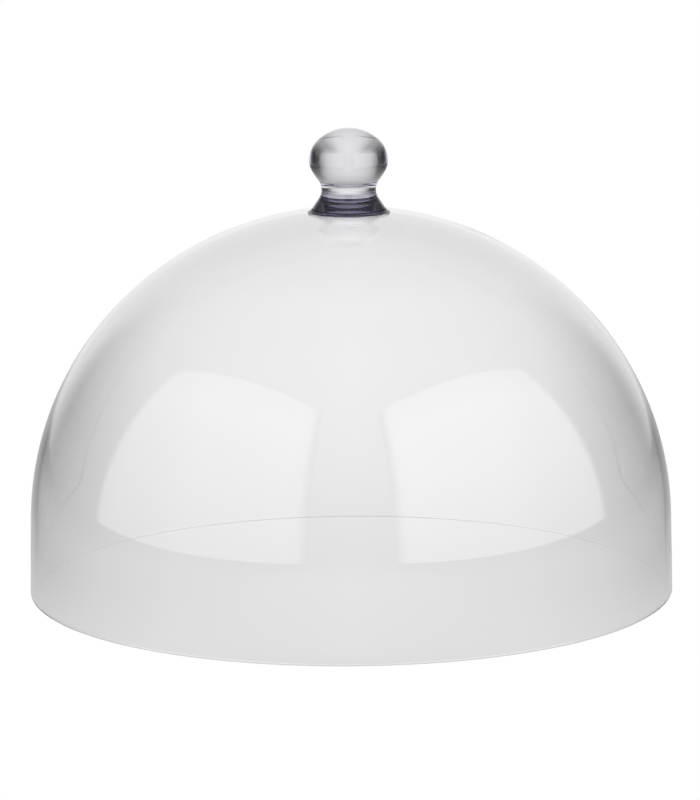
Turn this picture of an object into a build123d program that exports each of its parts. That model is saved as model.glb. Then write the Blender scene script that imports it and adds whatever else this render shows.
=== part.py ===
from build123d import *
import os
from math import acos, atan2, cos, degrees, radians, sin, sqrt, tan

# Clear domed cover for a cake stand: a thin moulded shell that is open below,
# and a solid ball knob whose spigot is cemented into a hole in the crown.
# Millimetres. +Z is up, and the origin is the middle of the circle that the rim rests on.

os.makedirs("parts", exist_ok=True)

# ---- shell ----
rim_diameter = 300.0          # outside, at the resting edge
shell_height = 178.5          # resting edge to the outside of the crown
springing_height = 33.0       # level at which the steep wall turns into the domed crown
wall_thickness = 3.0
wall_draft = 1.3              # degrees that the wall leans out towards the rim
rim_edge_radius = 1.1         # rounding of both rim corners, either side of the flat land

# ---- knob ----
foot_radius = 17.7            # where the flare meets the crown
neck_radius = 12.6
neck_height = 9.9             # above the edge of the foot
neck_sweep_radius = 7.5       # hollow of the neck, in profile
ball_radius = 18.2
ball_above_neck = 13.3        # from the neck to the widest part of the ball
ball_crown_rise = 15.1        # from the widest part to the top
ball_side_share = 0.86        # radius of the ball's side, in profile, as a share of that rise
belly_depth = 3.4             # how far below the widest part the ball's side starts to tuck in
belly_fullness = 0.75         # 0 is a straight cone under the ball, 1 is a square shoulder
spigot_radius = 7.5

# ---- cement ----
cement_gap = 0.2              # film left between the knob and the shell, all round
bead_leg = 1.35               # width of the squeezed-out bead, along the flare and the crown


# The crown is half an ellipse, and the wall is the straight line, leaning by the draft, that
# meets it without a corner. Surfaces inside or outside it are set off by the same amount.
draft = radians(wall_draft)
crown_rise = shell_height - springing_height
wall_reach = rim_diameter / 2 * cos(draft) - springing_height * sin(draft)
crown_half_width = sqrt(wall_reach**2 - (crown_rise * sin(draft)) ** 2) / cos(draft)


def surface_height(radius, offset):
    # height of the crown's surface, moved outwards by offset, at a radius from the axis
    half_width, rise = crown_half_width + offset, crown_rise + offset
    return springing_height + rise * sqrt(1 - (radius / half_width) ** 2)


def crown_angle(radius, offset):
    # angle on the crown's ellipse, in degrees, at a radius from the axis
    return degrees(acos(radius / (crown_half_width + offset)))


def crown_arc(offset, start_angle, end_angle):
    half_width, rise = crown_half_width + offset, crown_rise + offset
    return EllipticalCenterArc(
        (0, springing_height), half_width, rise, start_angle, arc_size=end_angle - start_angle
    )


def wall_line(offset):
    # the wall's foot on the resting plane, its top on the crown, and the crown angle there
    half_width, rise = crown_half_width + offset, crown_rise + offset
    reach = sqrt((half_width * cos(draft)) ** 2 + (rise * sin(draft)) ** 2)
    foot = ((reach + springing_height * sin(draft)) / cos(draft), 0)
    top_x, top_z = half_width**2 * cos(draft) / reach, rise**2 * sin(draft) / reach
    return foot, (top_x, springing_height + top_z), degrees(atan2(top_z / rise, top_x / half_width))


def touch_point(centre, radius, outside, side):
    # where the line from an outside point touches a circle, on its left (1) or right (-1) side
    away = outside - centre
    turn = atan2(away.Y, away.X) + side * acos(radius / away.length)
    return centre + Vector(radius * cos(turn), radius * sin(turn))


# ---- dome shell ----
outer_foot, outer_top, outer_start = wall_line(0)
inner_foot, inner_top, inner_start = wall_line(-wall_thickness)
hole_radius = spigot_radius + cement_gap

with BuildPart() as dome_shell:
    with BuildSketch(Plane.XZ) as shell_section:
        with BuildLine():
            Line(inner_foot, outer_foot)
            Line(outer_foot, outer_top)
            crown_arc(0, outer_start, 90)
            Line((0, shell_height), (0, shell_height - wall_thickness))
            crown_arc(-wall_thickness, inner_start, 90)
            Line(inner_top, inner_foot)
        make_face()
    revolve(axis=Axis.Z)
    fillet(dome_shell.edges().filter_by(GeomType.CIRCLE).group_by(Axis.Z)[0], rim_edge_radius)
    with Locations((0, 0, shell_height)):
        Hole(hole_radius, depth=2 * wall_thickness)

dome_shell.part.label = "dome_shell"
export_step(dome_shell.part, "parts/dome_shell.step")


# ---- knob: spigot, foot saddled to the crown, hollow neck and ball ----
spigot_end = surface_height(hole_radius, -wall_thickness)
seat_height = surface_height(foot_radius, cement_gap)
foot_edge = Vector(foot_radius, seat_height)
sweep_centre = Vector(neck_radius + neck_sweep_radius, seat_height + neck_height)
equator_height = sweep_centre.Y + ball_above_neck
belly_corner = Vector(ball_radius, equator_height - belly_depth)
flare_top = touch_point(sweep_centre, neck_sweep_radius, foot_edge, -1)
tuck_start = touch_point(sweep_centre, neck_sweep_radius, belly_corner, 1)
equator = Vector(ball_radius, equator_height)
neck_point = sweep_centre - Vector(neck_sweep_radius, 0)
foot_angle, spigot_angle = crown_angle(foot_radius, cement_gap), crown_angle(spigot_radius, cement_gap)

# The top of the ball is a flattened round: a side arc and a flatter cap arc that run into each other.
side_radius = ball_side_share * ball_crown_rise
side_inset = ball_radius - side_radius
cap_radius = (side_inset**2 + ball_crown_rise**2 - side_radius**2) / (2 * (ball_crown_rise - side_radius))
cap_sink = cap_radius - ball_crown_rise
cap_angle = degrees(atan2(cap_sink, side_inset))

with BuildPart() as knob:
    with BuildSketch(Plane.XZ) as knob_section:
        with BuildLine():
            Polyline(
                (0, spigot_end),
                (spigot_radius, spigot_end),
                (spigot_radius, surface_height(spigot_radius, cement_gap)),
            )
            crown_arc(cement_gap, foot_angle, spigot_angle)
            Line(foot_edge, flare_top)
            ThreePointArc(flare_top, neck_point, tuck_start)
            Bezier(
                tuck_start,
                tuck_start + (belly_corner - tuck_start) * belly_fullness,
                equator + (belly_corner - equator) * belly_fullness,
                equator,
            )
            CenterArc((side_inset, equator_height), side_radius, 0, cap_angle)
            CenterArc((0, equator_height - cap_sink), cap_radius, cap_angle, 90 - cap_angle)
            Line((0, equator_height + ball_crown_rise), (0, spigot_end))
        make_face()
    revolve(axis=Axis.Z)

knob.part.label = "knob"
export_step(knob.part, "parts/knob.step")


# ---- cement: sleeve round the spigot, film under the foot and a hollow bead round its edge ----
bead_top = foot_edge + (flare_top - foot_edge).normalized() * bead_leg
toe_radius = foot_radius + bead_leg
bead_toe = Vector(toe_radius, surface_height(toe_radius, 0))
flare_direction = atan2(flare_top.Y - foot_edge.Y, flare_top.X - foot_edge.X)
crown_direction = atan2(bead_toe.Y - foot_edge.Y, bead_toe.X - foot_edge.X)
bead_radius = bead_leg * tan((flare_direction - crown_direction) / 2)

with BuildPart() as cement_ring:
    with BuildSketch(Plane.XZ) as cement_section:
        with BuildLine():
            Polyline(
                (spigot_radius, surface_height(spigot_radius, cement_gap)),
                (spigot_radius, spigot_end),
                (hole_radius, spigot_end),
                (hole_radius, surface_height(hole_radius, 0)),
            )
            crown_arc(0, crown_angle(toe_radius, 0), crown_angle(hole_radius, 0))
            RadiusArc(bead_toe, bead_top, bead_radius)
            Line(bead_top, foot_edge)
            crown_arc(cement_gap, foot_angle, spigot_angle)
        make_face()
    revolve(axis=Axis.Z)

cement_ring.part.label = "cement_ring"
export_step(cement_ring.part, "parts/cement_ring.step")
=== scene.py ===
import math

import bmesh
import bpy
from mathutils import Matrix, Vector
from mathutils.geometry import interpolate_bezier


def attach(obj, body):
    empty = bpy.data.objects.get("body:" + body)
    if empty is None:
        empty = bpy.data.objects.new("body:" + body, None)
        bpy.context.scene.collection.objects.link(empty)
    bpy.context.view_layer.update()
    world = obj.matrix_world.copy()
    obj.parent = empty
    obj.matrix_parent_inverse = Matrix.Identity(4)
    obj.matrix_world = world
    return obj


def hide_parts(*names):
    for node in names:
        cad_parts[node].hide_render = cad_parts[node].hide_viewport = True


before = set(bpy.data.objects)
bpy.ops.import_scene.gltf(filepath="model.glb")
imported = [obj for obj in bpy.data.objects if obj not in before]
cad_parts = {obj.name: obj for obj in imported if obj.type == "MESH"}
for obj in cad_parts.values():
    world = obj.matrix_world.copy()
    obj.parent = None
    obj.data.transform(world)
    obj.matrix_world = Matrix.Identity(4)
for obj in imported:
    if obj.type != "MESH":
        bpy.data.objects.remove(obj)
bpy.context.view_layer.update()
print("loaded the frame:", ", ".join(sorted(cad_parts)))


# Each piece is an outline drawn in the XZ plane, then turned about Z.

def addLine(bm, start, end, parts=1):
    ends = [bm.verts.new((x, 0, z)) for x, z in (start, end)]
    edge = bm.edges.new(ends)
    if parts > 1:
        bmesh.ops.subdivide_edges(bm, edges=[edge], cuts=parts - 1)


def addArc(bm, centre, radius, fromAngle, toAngle, parts, rise=None):
    # a vertex spun round the centre; rise is the upright half axis where the arc is an ellipse's
    middle = Vector((centre[0], 0, centre[1]))
    older = set(bm.verts)
    outward = Vector((math.cos(fromAngle), 0, math.sin(fromAngle)))
    seed = bmesh.ops.create_vert(bm, co=middle + outward * radius)["vert"]
    bmesh.ops.spin(bm, geom=seed, cent=middle, axis=(0, -1, 0), angle=toAngle - fromAngle,
                   steps=parts, use_merge=False, use_duplicate=False)
    if rise:
        newer = [v for v in bm.verts if v not in older]
        bmesh.ops.scale(bm, vec=(1, 1, rise / radius), space=Matrix.Translation(-middle), verts=newer)


def addSweep(bm, start, startPull, endPull, end, parts):
    points = interpolate_bezier(start, startPull, endPull, end, parts + 1)
    verts = [bm.verts.new((p.x, 0, p.y)) for p in points]
    for pair in zip(verts, verts[1:]):
        bm.edges.new(pair)


joinDistance = 0.000008


def turnOutline(bm, name, parts, sharpAngle):
    bmesh.ops.remove_doubles(bm, verts=bm.verts, dist=joinDistance)
    bmesh.ops.spin(bm, geom=bm.verts[:] + bm.edges[:], cent=(0, 0, 0), axis=(0, 0, 1),
                   angle=math.tau, steps=parts, use_merge=True, use_duplicate=False)
    bmesh.ops.remove_doubles(bm, verts=bm.verts, dist=joinDistance)
    bmesh.ops.recalc_face_normals(bm, faces=bm.faces)
    for face in bm.faces:
        face.smooth = True
    for edge in bm.edges:
        edge.smooth = edge.calc_face_angle() < sharpAngle
    mesh = bpy.data.meshes.new(name)
    bm.to_mesh(mesh)
    bm.free()
    piece = bpy.data.objects.new(name, mesh)
    bpy.context.scene.collection.objects.link(piece)
    print("turned", name, "with", len(mesh.polygons), "faces")
    return piece


shell = {
    "rimRadius": 0.150,         # where the line of the outer wall meets the resting plane
    "topHeight": 0.1785,
    "springingHeight": 0.033,   # level of the widest part of the crown's ellipse
    "thickness": 0.003,
    "draft": math.radians(1.3),
    "rimRound": 0.0011,
    "turnParts": 288,
    "crownParts": 84,
}

cement = {
    "film": 0.0002,             # under the foot and round the spigot
    "slack": 0.00002,           # hair's breadth that keeps the pieces' faces apart
    "beadLeg": 0.00135,
}

knob = {
    "footRadius": 0.0177,
    "neckRadius": 0.0126,
    "neckAboveFoot": 0.0099,
    "hollowRadius": 0.0075,
    "ballRadius": 0.0182,
    "ballAboveNeck": 0.0133,
    "ballRise": 0.0151,
    "sideShare": 0.86,          # radius of the ball's side as a share of its rise
    "bellyDepth": 0.0034,
    "bellyFullness": 0.75,
    "spigotRadius": 0.0075,
    "turnParts": 192,
}

crownRise = shell["topHeight"] - shell["springingHeight"]
cosDraft, sinDraft = math.cos(shell["draft"]), math.sin(shell["draft"])
wallReach = shell["rimRadius"] * cosDraft - shell["springingHeight"] * sinDraft
crownHalf = math.sqrt(wallReach ** 2 - (crownRise * sinDraft) ** 2) / cosDraft
inside = -shell["thickness"]
holeRadius = knob["spigotRadius"] + cement["film"]
toeRadius = knob["footRadius"] + cement["beadLeg"]


def crownAngle(radius, offset=0):
    return math.acos(radius / (crownHalf + offset))


def onCrown(radius, offset=0):
    height = (crownRise + offset) * math.sin(crownAngle(radius, offset))
    return Vector((radius, shell["springingHeight"] + height))


def addCrown(bm, offset, fromAngle, toAngle, parts):
    addArc(bm, (0, shell["springingHeight"]), crownHalf + offset, fromAngle, toAngle, parts,
           rise=crownRise + offset)


def addWall(bm, offset, side):
    # rounded rim corner and straight drafted wall; side is 1 outside and -1 inside
    half, rise, corner = crownHalf + offset, crownRise + offset, shell["rimRound"]
    reach = math.hypot(half * cosDraft, rise * sinDraft)
    foot = (reach + shell["springingHeight"] * sinDraft) / cosDraft
    top = (half ** 2 * cosDraft / reach, shell["springingHeight"] + rise ** 2 * sinDraft / reach)
    centre = (foot - side * corner * (1 + side * sinDraft) / cosDraft, corner)
    land = (centre[0], 0)
    touch = (centre[0] + side * corner * cosDraft, corner + side * corner * sinDraft)
    wallTurn = shell["draft"] + (0 if side == 1 else math.pi)
    landTurn = -math.pi / 2 if side == 1 else math.pi * 1.5
    addArc(bm, centre, corner, landTurn, wallTurn, 10)
    addLine(bm, touch, top, 10)
    return land, math.atan2((top[1] - shell["springingHeight"]) / rise, top[0] / half)


def makeShell():
    bm = bmesh.new()
    outerLand, outerStart = addWall(bm, 0, 1)
    innerLand, innerStart = addWall(bm, inside, -1)
    addLine(bm, innerLand, outerLand, 2)
    addCrown(bm, 0, outerStart, crownAngle(toeRadius), shell["crownParts"])
    addCrown(bm, 0, crownAngle(toeRadius), crownAngle(holeRadius), 12)
    addCrown(bm, inside, innerStart, crownAngle(holeRadius, inside), shell["crownParts"] + 6)
    addLine(bm, onCrown(holeRadius, inside), onCrown(holeRadius), 4)
    return turnOutline(bm, "domeShell", shell["turnParts"], math.radians(40))


def touchPoint(centre, radius, outside, side):
    # where a straight line from an outside point just touches a circle
    away = outside - centre
    turn = math.atan2(away.y, away.x) + side * math.acos(radius / away.length)
    return centre + radius * Vector((math.cos(turn), math.sin(turn))), turn % math.tau


spigotEnd = onCrown(holeRadius, inside).y
footEdge = onCrown(knob["footRadius"], cement["film"])
hollowCentre = Vector((knob["neckRadius"] + knob["hollowRadius"], footEdge.y + knob["neckAboveFoot"]))
equator = Vector((knob["ballRadius"], hollowCentre.y + knob["ballAboveNeck"]))
bellyCorner = equator - Vector((0, knob["bellyDepth"]))
flareTop, flareTurn = touchPoint(hollowCentre, knob["hollowRadius"], footEdge, -1)
bellyStart, bellyTurn = touchPoint(hollowCentre, knob["hollowRadius"], bellyCorner, 1)
beadTop = footEdge + (flareTop - footEdge).normalized() * cement["beadLeg"]


def makeKnob():
    bm = bmesh.new()
    film, foot, spigot = cement["film"], knob["footRadius"], knob["spigotRadius"]
    addLine(bm, (0, spigotEnd), (spigot, spigotEnd), 5)
    addLine(bm, (spigot, spigotEnd), onCrown(spigot, film), 4)
    addCrown(bm, film, crownAngle(foot, film), crownAngle(spigot, film), 12)
    addLine(bm, footEdge, beadTop, 2)
    addLine(bm, beadTop, flareTop, 8)
    addArc(bm, hollowCentre, knob["hollowRadius"], flareTurn, bellyTurn, 36)
    pull = knob["bellyFullness"]
    addSweep(bm, bellyStart, bellyStart.lerp(bellyCorner, pull), equator.lerp(bellyCorner, pull), equator, 24)
    # the top of the ball: a tight arc at the side and a flatter one over the crown
    rise = knob["ballRise"]
    side = knob["sideShare"] * rise
    inset = knob["ballRadius"] - side
    cap = (inset ** 2 + rise ** 2 - side ** 2) / (2 * (rise - side))
    join = math.atan2(cap - rise, inset)
    addArc(bm, (inset, equator.y), side, 0, join, 24)
    addArc(bm, (0, equator.y + rise - cap), cap, join, math.pi / 2, 36)
    return turnOutline(bm, "knobBody", knob["turnParts"], math.radians(20))


def makeCement():
    bm = bmesh.new()
    film, slack = cement["film"], cement["slack"]
    inner, outer = knob["spigotRadius"] + slack, holeRadius - slack
    foot = footEdge + Vector((slack, 0))
    top = beadTop + Vector((slack, 0))
    toe = onCrown(toeRadius, slack)
    addLine(bm, onCrown(inner, film - slack), (inner, spigotEnd), 4)
    addLine(bm, (inner, spigotEnd), (outer, spigotEnd))
    addLine(bm, (outer, spigotEnd), onCrown(outer, slack), 4)
    addCrown(bm, slack, crownAngle(toeRadius, slack), crownAngle(outer, slack), 14)
    addLine(bm, top, foot, 2)
    addLine(bm, foot, onCrown(foot.x, film - slack))
    addCrown(bm, film - slack, crownAngle(foot.x, film - slack), crownAngle(inner, film - slack), 12)
    # the bead's face is hollow, so its centre lies outside it
    flareWay, crownWay = (flareTop - footEdge).normalized(), (toe - footEdge).normalized()
    radius = cement["beadLeg"] * math.tan(flareWay.angle(crownWay) / 2)
    chord = toe - top
    outward = Vector((-chord.y, chord.x)).normalized()
    centre = (toe + top) / 2 + outward * math.sqrt(radius ** 2 - chord.length_squared / 4)
    turns = [math.atan2(p.y - centre.y, p.x - centre.x) % math.tau for p in (top, toe)]
    addArc(bm, centre, radius, turns[0], turns[1], 12)
    return turnOutline(bm, "cementBead", knob["turnParts"], math.radians(40))


shellPiece = makeShell()
knobPiece = makeKnob()
cementPiece = makeCement()


# The polish that every piece shares: a slow wave from the mould, smudges and very fine scratches.

def makePolishGroup():
    group = bpy.data.node_groups.new("clearPolish", "ShaderNodeTree")
    face = group.interface
    for name, value in (("Roughness", 0.0), ("Smudges", 0.02), ("Smudge Scale", 20.0),
                        ("Waves", 0.5), ("Wave Scale", 14.0), ("Scratches", 0.02)):
        face.new_socket(name, in_out="INPUT", socket_type="NodeSocketFloat").default_value = value
    face.new_socket("Roughness", in_out="OUTPUT", socket_type="NodeSocketFloat")
    face.new_socket("Height", in_out="OUTPUT", socket_type="NodeSocketFloat")
    nodes, links = group.nodes, group.links
    given, result = nodes.new("NodeGroupInput"), nodes.new("NodeGroupOutput")
    place = nodes.new("ShaderNodeTexCoord")

    def noise(scale, detail, coordinates):
        node = nodes.new("ShaderNodeTexNoise")
        node.inputs["Detail"].default_value = detail
        links.new(coordinates, node.inputs["Vector"])
        if isinstance(scale, float):
            node.inputs["Scale"].default_value = scale
        else:
            links.new(scale, node.inputs["Scale"])
        return node.outputs["Fac"]

    def mapped(value, low, high, toLow, toHigh):
        node = nodes.new("ShaderNodeMapRange")
        node.inputs["From Min"].default_value, node.inputs["From Max"].default_value = low, high
        node.inputs["To Min"].default_value, node.inputs["To Max"].default_value = toLow, toHigh
        links.new(value, node.inputs["Value"])
        return node.outputs["Result"]

    def combined(kind, a, b):
        node = nodes.new("ShaderNodeMath")
        node.operation = kind
        links.new(a, node.inputs[0])
        links.new(b, node.inputs[1])
        return node.outputs["Value"]

    smudge = mapped(noise(given.outputs["Smudge Scale"], 4.0, place.outputs["Object"]), 0.5, 0.75, 0, 1)
    scratches = None
    for stretch, tilt in (((2, 2, 160), 25), ((160, 4, 4), -40), ((5, 140, 5), 15)):
        mapping = nodes.new("ShaderNodeMapping")
        mapping.inputs["Scale"].default_value = stretch
        mapping.inputs["Rotation"].default_value = [math.radians(tilt)] * 3
        links.new(place.outputs["Object"], mapping.inputs["Vector"])
        streak = mapped(noise(9.0, 2.0, mapping.outputs["Vector"]), 0.7, 0.76, 0, 1)
        scratches = combined("MAXIMUM", scratches, streak) if scratches else streak
    rough = combined("MULTIPLY", smudge, given.outputs["Smudges"])
    rough = combined("ADD", rough, combined("MULTIPLY", scratches, given.outputs["Scratches"]))
    links.new(combined("ADD", rough, given.outputs["Roughness"]), result.inputs["Roughness"])
    wave = noise(given.outputs["Wave Scale"], 1.0, place.outputs["Object"])
    links.new(combined("MULTIPLY", wave, given.outputs["Waves"]), result.inputs["Height"])
    return group


polishGroup = makePolishGroup()
clearPlastic = {
    "refraction": 1.57,
    "glow": (0.55, 0.52, 0.66, 1),    # what is left of light after a long way inside
    "cementGlow": (0.30, 0.265, 0.42, 1),
    "waveHeight": 0.00004,
}
finishes = {
    "shellPlastic": {"glow": clearPlastic["glow"], "density": 8, "Roughness": 0.0, "Smudges": 0.02,
                     "Smudge Scale": 14.0, "Waves": 0.6, "Wave Scale": 22.0, "Scratches": 0.03},
    "knobPlastic": {"glow": clearPlastic["glow"], "density": 9, "Roughness": 0.0, "Smudges": 0.015,
                    "Smudge Scale": 90.0, "Waves": 0.1, "Wave Scale": 70.0, "Scratches": 0.02},
    # a guess: far too strong for a clear cement, and chosen only so that the flare shows a dark violet band
    "clearCement": {"glow": clearPlastic["cementGlow"], "density": 3900, "Roughness": 0.01, "Smudges": 0.03,
                    "Smudge Scale": 300.0, "Waves": 0.3, "Wave Scale": 240.0, "Scratches": 0.0},
}


def makeClear(name):
    material = bpy.data.materials.new(name)
    material.use_nodes = True
    nodes, links = material.node_tree.nodes, material.node_tree.links
    body = nodes["Principled BSDF"]
    body.inputs["Base Color"].default_value = (1, 1, 1, 1)
    body.inputs["Transmission Weight"].default_value = 1
    body.inputs["IOR"].default_value = clearPlastic["refraction"]
    depth = nodes.new("ShaderNodeVolumeAbsorption")
    depth.inputs["Color"].default_value = finishes[name]["glow"]
    depth.inputs["Density"].default_value = finishes[name]["density"]
    links.new(depth.outputs["Volume"], nodes["Material Output"].inputs["Volume"])
    polish = nodes.new("ShaderNodeGroup")
    polish.node_tree = polishGroup
    for key, value in finishes[name].items():
        if key in polish.inputs:
            polish.inputs[key].default_value = value
    bump = nodes.new("ShaderNodeBump")
    bump.inputs["Strength"].default_value = 1
    bump.inputs["Distance"].default_value = clearPlastic["waveHeight"]
    links.new(polish.outputs["Height"], bump.inputs["Height"])
    links.new(polish.outputs["Roughness"], body.inputs["Roughness"])
    links.new(bump.outputs["Normal"], body.inputs["Normal"])
    # faces that the cement wets let light straight on, so the three pieces read as one clear body
    bare = nodes.new("ShaderNodeAttribute")
    bare.attribute_name = "bare"
    links.new(bare.outputs["Fac"], body.inputs["Alpha"])
    return material


# how far a face's middle may lie from the surface it belongs to; the hole's is a share, not a length
near = {"chord": 0.0001, "bead": 0.00002, "seat": 0.00001, "hole": 1.0001}


def isShellJoint(radius, height):
    underFoot = radius < toeRadius and height > onCrown(toeRadius).y - near["chord"]
    return underFoot or radius < holeRadius * near["hole"]


def isKnobJoint(radius, height):
    return spigotEnd + near["chord"] < height < beadTop.y


def isCementJoint(radius, height):
    # everything but the bead's hollow face and the ring at the spigot's end
    slack = cement["slack"]
    along = (height - footEdge.y) / (beadTop.y - footEdge.y)
    flareRadius = footEdge.x + (beadTop.x - footEdge.x) * max(along, 0) + slack
    onHollow = radius > flareRadius + near["bead"] and height > onCrown(radius, slack).y + near["seat"]
    return height > spigotEnd + near["seat"] and not onHollow


def finishPiece(piece, node, slot, finish, isJoint):
    piece.data.materials.append(makeClear(finish))
    bare = piece.data.attributes.new("bare", "FLOAT", "FACE")
    for face, mark in zip(piece.data.polygons, bare.data):
        mark.value = 0 if isJoint(math.hypot(face.center.x, face.center.y), face.center.z) else 1
    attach(piece, "root")
    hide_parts(node)


pieceRows = (
    (shellPiece, "dome_shell", "shell_plastic", "shellPlastic", isShellJoint),
    (knobPiece, "knob", "knob_plastic", "knobPlastic", isKnobJoint),
    (cementPiece, "cement_ring", "clear_cement", "clearCement", isCementJoint),
)
for row in pieceRows:
    finishPiece(*row)
print("finished the clear plastic")

viewpoint = {
    "distance": 2.0,
    "elevation": math.radians(11.35),
    "aimHeight": 0.080,
    "lens": 193.5,
    "shift": (-0.0004, 0.0231),
    "roll": math.radians(-0.4),
}


def makeCamera():
    data = bpy.data.cameras.new("camera")
    data.sensor_width = 36
    data.lens = viewpoint["lens"]
    data.shift_x, data.shift_y = viewpoint["shift"]
    camera = bpy.data.objects.new("camera", data)
    bpy.context.scene.collection.objects.link(camera)
    back = Vector((0, -math.cos(viewpoint["elevation"]), math.sin(viewpoint["elevation"])))
    camera.location = Vector((0, 0, viewpoint["aimHeight"])) + back * viewpoint["distance"]
    camera.rotation_mode = "QUATERNION"
    roll = Matrix.Rotation(viewpoint["roll"], 3, "Z").to_quaternion()
    camera.rotation_quaternion = (-back).to_track_quat("-Z", "Y") @ roll
    bpy.context.scene.camera = camera
    return camera


camera = makeCamera()

# The studio turns with the camera, so the cover is lit the same way in every view.
studio = bpy.data.objects.new("studio", None)
bpy.context.scene.collection.objects.link(studio)
follow = studio.constraints.new("LOCKED_TRACK")
follow.target = camera
follow.track_axis = "TRACK_NEGATIVE_Y"
follow.lock_axis = "LOCK_Z"

# Ramps are (place, level) pairs, with 1 for white. The floor's, room's and cloths' levels began as the
# answer of a least-squares solver, and were then rounded and trimmed. They aren't a real room's.
light = {
    "floorRadius": 1.45,
    "floorDrop": 0.0002,
    "stripWidth": 0.185,                # half of the lit strip of floor, under the cover
    "stripSpread": 0.03,                # how much it gains with each metre behind
    "stripReach": 4.0,                  # the ramp across covers this many half widths
    "floorAcross": ((0.0, 1.0), (0.11, 0.95), (0.16, 0.87), (0.22, 0.68), (0.29, 0.46), (0.35, 0.38),
                    (0.46, 0.30), (0.65, 0.15), (1.0, 0.05)),
    "alongPlace": (0.25, 0.25),         # the ramp along runs from 1 m in front to 3 m behind
    "floorAlong": ((0.0, 0.16), (0.12, 0.25), (0.19, 0.6), (0.22, 0.78), (0.26, 0.84), (0.32, 0.90),
                   (0.40, 0.95), (0.48, 0.96), (0.6, 0.90)),
    "floorFarStart": 0.5,               # from here the floor takes on the room's own light
    "floorFarSlope": 1.4,
    "roomRadius": 4.0,
    "roomLow": ((0.0, 0.92), (0.05, 0.88), (0.10, 0.80), (0.139, 0.68), (0.18, 0.42), (0.222, 0.10),
                (0.3, 0.03), (0.5, 0.03), (0.88, 0.12), (1.0, 0.08)),
    "roomHigh": ((0.0, 0.42), (0.1, 0.40), (0.3, 0.48), (0.5, 0.42), (0.8, 0.38), (1.0, 0.42)),
    "roomLift": (2.2, -0.35),           # how the room goes from its low light to its high light
    "panelInner": (0.215, -0.881),      # the upright edge beside the camera, and the far one
    "panelOuter": (1.218, 0.149),
    "panelHeight": 1.11,
    "panelSoft": 0.05,
    "leftCloth": ((0.0, 0.82), (0.35, 1.0), (0.7, 1.14), (1.0, 0.9)),
    "rightCloth": ((0.0, 0.95), (0.35, 1.25), (0.7, 1.28), (1.0, 0.9)),
}


def makeGlow(name):
    material = bpy.data.materials.new(name)
    material.use_nodes = True
    nodes, links = material.node_tree.nodes, material.node_tree.links
    nodes.remove(nodes["Principled BSDF"])
    glow = nodes.new("ShaderNodeEmission")
    links.new(glow.outputs[0], nodes["Material Output"].inputs["Surface"])
    material.cycles.emission_sampling = "NONE"
    return material, nodes, links, glow


def addStage(name, bm, material, seen=False):
    mesh = bpy.data.meshes.new(name)
    bm.to_mesh(mesh)
    bm.free()
    stage = bpy.data.objects.new(name, mesh)
    bpy.context.scene.collection.objects.link(stage)
    mesh.materials.append(material)
    stage.parent = studio
    stage.visible_camera = seen
    return stage


def mathNode(nodes, links, kind, a, b=None, c=None):
    node = nodes.new("ShaderNodeMath")
    node.operation = kind
    for socket, value in zip(node.inputs, (a, b, c)):
        if value is None:
            continue
        if isinstance(value, (int, float)):
            socket.default_value = value
        else:
            links.new(value, socket)
    return node.outputs[0]


def rampNode(nodes, links, value, stops):
    ramp = nodes.new("ShaderNodeValToRGB")
    elements = ramp.color_ramp.elements
    while len(elements) < len(stops):
        elements.new(0.5)
    for element, (place, level) in zip(elements, stops):
        element.position = place
        element.color = (level, level, level, 1)
    links.new(value, ramp.inputs["Fac"])
    return ramp.outputs["Color"]


def addBackdrop(nodes, links, x, y):
    # how bright the room is by the turn away from straight behind, for the floor's far end too
    turn = mathNode(nodes, links, "ABSOLUTE", mathNode(nodes, links, "ARCTAN2", x, y))
    turn = mathNode(nodes, links, "DIVIDE", turn, math.pi)
    return turn, rampNode(nodes, links, turn, light["roomLow"])


def blendNode(nodes, links, amount, a, b):
    mix = nodes.new("ShaderNodeMixRGB")
    for socket, value in zip(mix.inputs, (amount, a, b)):
        links.new(value, socket)
    return mix.outputs[0]


def makeFloor():
    # white to the eye; what the plastic gathers from it is a lit strip that fades at both sides
    material, nodes, links, glow = makeGlow("floorGlow")
    place = nodes.new("ShaderNodeTexCoord")
    split = nodes.new("ShaderNodeSeparateXYZ")
    links.new(place.outputs["Object"], split.inputs[0])
    aside = mathNode(nodes, links, "ABSOLUTE", split.outputs["X"])
    behind = mathNode(nodes, links, "MAXIMUM", split.outputs["Y"], 0.0)
    width = mathNode(nodes, links, "MULTIPLY_ADD", behind, light["stripSpread"], light["stripWidth"])
    ratio = mathNode(nodes, links, "DIVIDE", aside, width)
    ratio = mathNode(nodes, links, "DIVIDE", ratio, light["stripReach"])
    across = rampNode(nodes, links, ratio, light["floorAcross"])
    depth = mathNode(nodes, links, "MULTIPLY_ADD", split.outputs["Y"], *light["alongPlace"])
    along = rampNode(nodes, links, depth, light["floorAlong"])
    level = mathNode(nodes, links, "MULTIPLY", across, along)
    slope = light["floorFarSlope"]
    far = mathNode(nodes, links, "MULTIPLY_ADD", behind, slope, -slope * light["floorFarStart"])
    far = mathNode(nodes, links, "SMOOTH_MIN", far, 1.0, 0.1)
    far = mathNode(nodes, links, "MAXIMUM", far, 0.0)
    turn, backdrop = addBackdrop(nodes, links, split.outputs["X"], split.outputs["Y"])
    level = blendNode(nodes, links, far, level, backdrop)
    path = nodes.new("ShaderNodeLightPath")
    level = mathNode(nodes, links, "MAXIMUM", level, path.outputs["Is Camera Ray"])
    links.new(level, glow.inputs["Strength"])
    bm = bmesh.new()
    bmesh.ops.create_circle(bm, cap_ends=True, segments=64, radius=light["floorRadius"])
    bmesh.ops.translate(bm, vec=(0, 0, -light["floorDrop"]), verts=bm.verts)
    return addStage("floor", bm, material, True)


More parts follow.
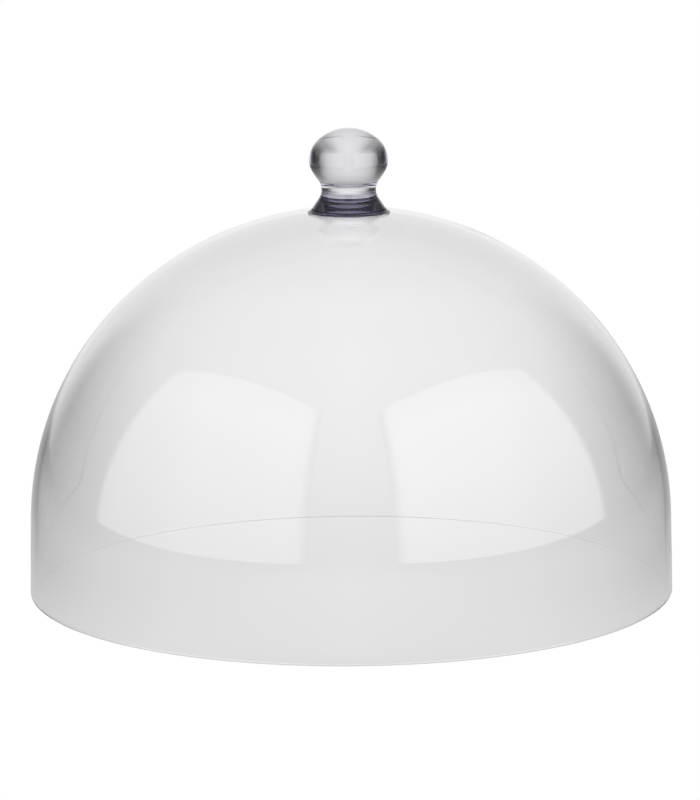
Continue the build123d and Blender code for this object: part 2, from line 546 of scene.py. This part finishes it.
def makeSky():
    # the room: a bright patch straight behind, dim sides, a soft ceiling
    material, nodes, links, glow = makeGlow("roomGlow")
    place = nodes.new("ShaderNodeTexCoord")
    unit = nodes.new("ShaderNodeVectorMath")
    unit.operation = "NORMALIZE"
    links.new(place.outputs["Object"], unit.inputs[0])
    split = nodes.new("ShaderNodeSeparateXYZ")
    links.new(unit.outputs[0], split.inputs[0])
    turn, low = addBackdrop(nodes, links, split.outputs["X"], split.outputs["Y"])
    high = rampNode(nodes, links, turn, light["roomHigh"])
    lift = mathNode(nodes, links, "MULTIPLY_ADD", split.outputs["Z"], *light["roomLift"])
    lift = mathNode(nodes, links, "MINIMUM", mathNode(nodes, links, "MAXIMUM", lift, 0.0), 1.0)
    links.new(blendNode(nodes, links, lift, low, high), glow.inputs["Color"])
    bm = bmesh.new()
    bmesh.ops.create_uvsphere(bm, u_segments=48, v_segments=24, radius=light["roomRadius"])
    return addStage("room", bm, material)


def makePanel(name, side, levels):
    # a softbox whose cloth is brightest in the middle of its height and soft at its edges
    material, nodes, links, glow = makeGlow(name + "Glow")
    cloth = nodes.new("ShaderNodeTexCoord")
    split = nodes.new("ShaderNodeSeparateXYZ")
    links.new(cloth.outputs["UV"], split.inputs[0])
    level = rampNode(nodes, links, split.outputs["Y"], levels)
    soft = light["panelSoft"]
    fade = ((0.0, 0.0), (soft, 0.9), (2 * soft, 1.0), (1 - soft, 1.0), (1.0, 0.35))
    edge = rampNode(nodes, links, split.outputs["X"], fade)
    links.new(mathNode(nodes, links, "MULTIPLY", level, edge), glow.inputs["Strength"])
    inner = Vector((side * light["panelInner"][0], light["panelInner"][1], 0))
    outer = Vector((side * light["panelOuter"][0], light["panelOuter"][1], 0))
    wide, up = outer - inner, Vector((0, 0, light["panelHeight"]))
    middle = (inner + outer + up) / 2
    bm = bmesh.new()
    bm.loops.layers.uv.new("cloth")
    across = Matrix((wide, up, wide.cross(up).normalized())).transposed().to_4x4()
    bmesh.ops.create_grid(bm, x_segments=1, y_segments=1, size=0.5, calc_uvs=True,
                          matrix=Matrix.Translation(middle) @ across)
    return addStage(name, bm, material)


makeFloor()
makeSky()
makePanel("leftPanel", -1, light["leftCloth"])
makePanel("rightPanel", 1, light["rightCloth"])

world = bpy.data.worlds.new("white")
world.use_nodes = True
world.node_tree.nodes["Background"].inputs["Color"].default_value = (1, 1, 1, 1)
bpy.context.scene.world = world

scene = bpy.context.scene
scene.view_settings.view_transform = "Standard"
bounces = 48    # light crosses many clear faces
scene.cycles.max_bounces = bounces
scene.cycles.transmission_bounces = bounces
scene.cycles.transparent_max_bounces = bounces
scene.cycles.glossy_bounces = bounces // 2
print("lit the studio")
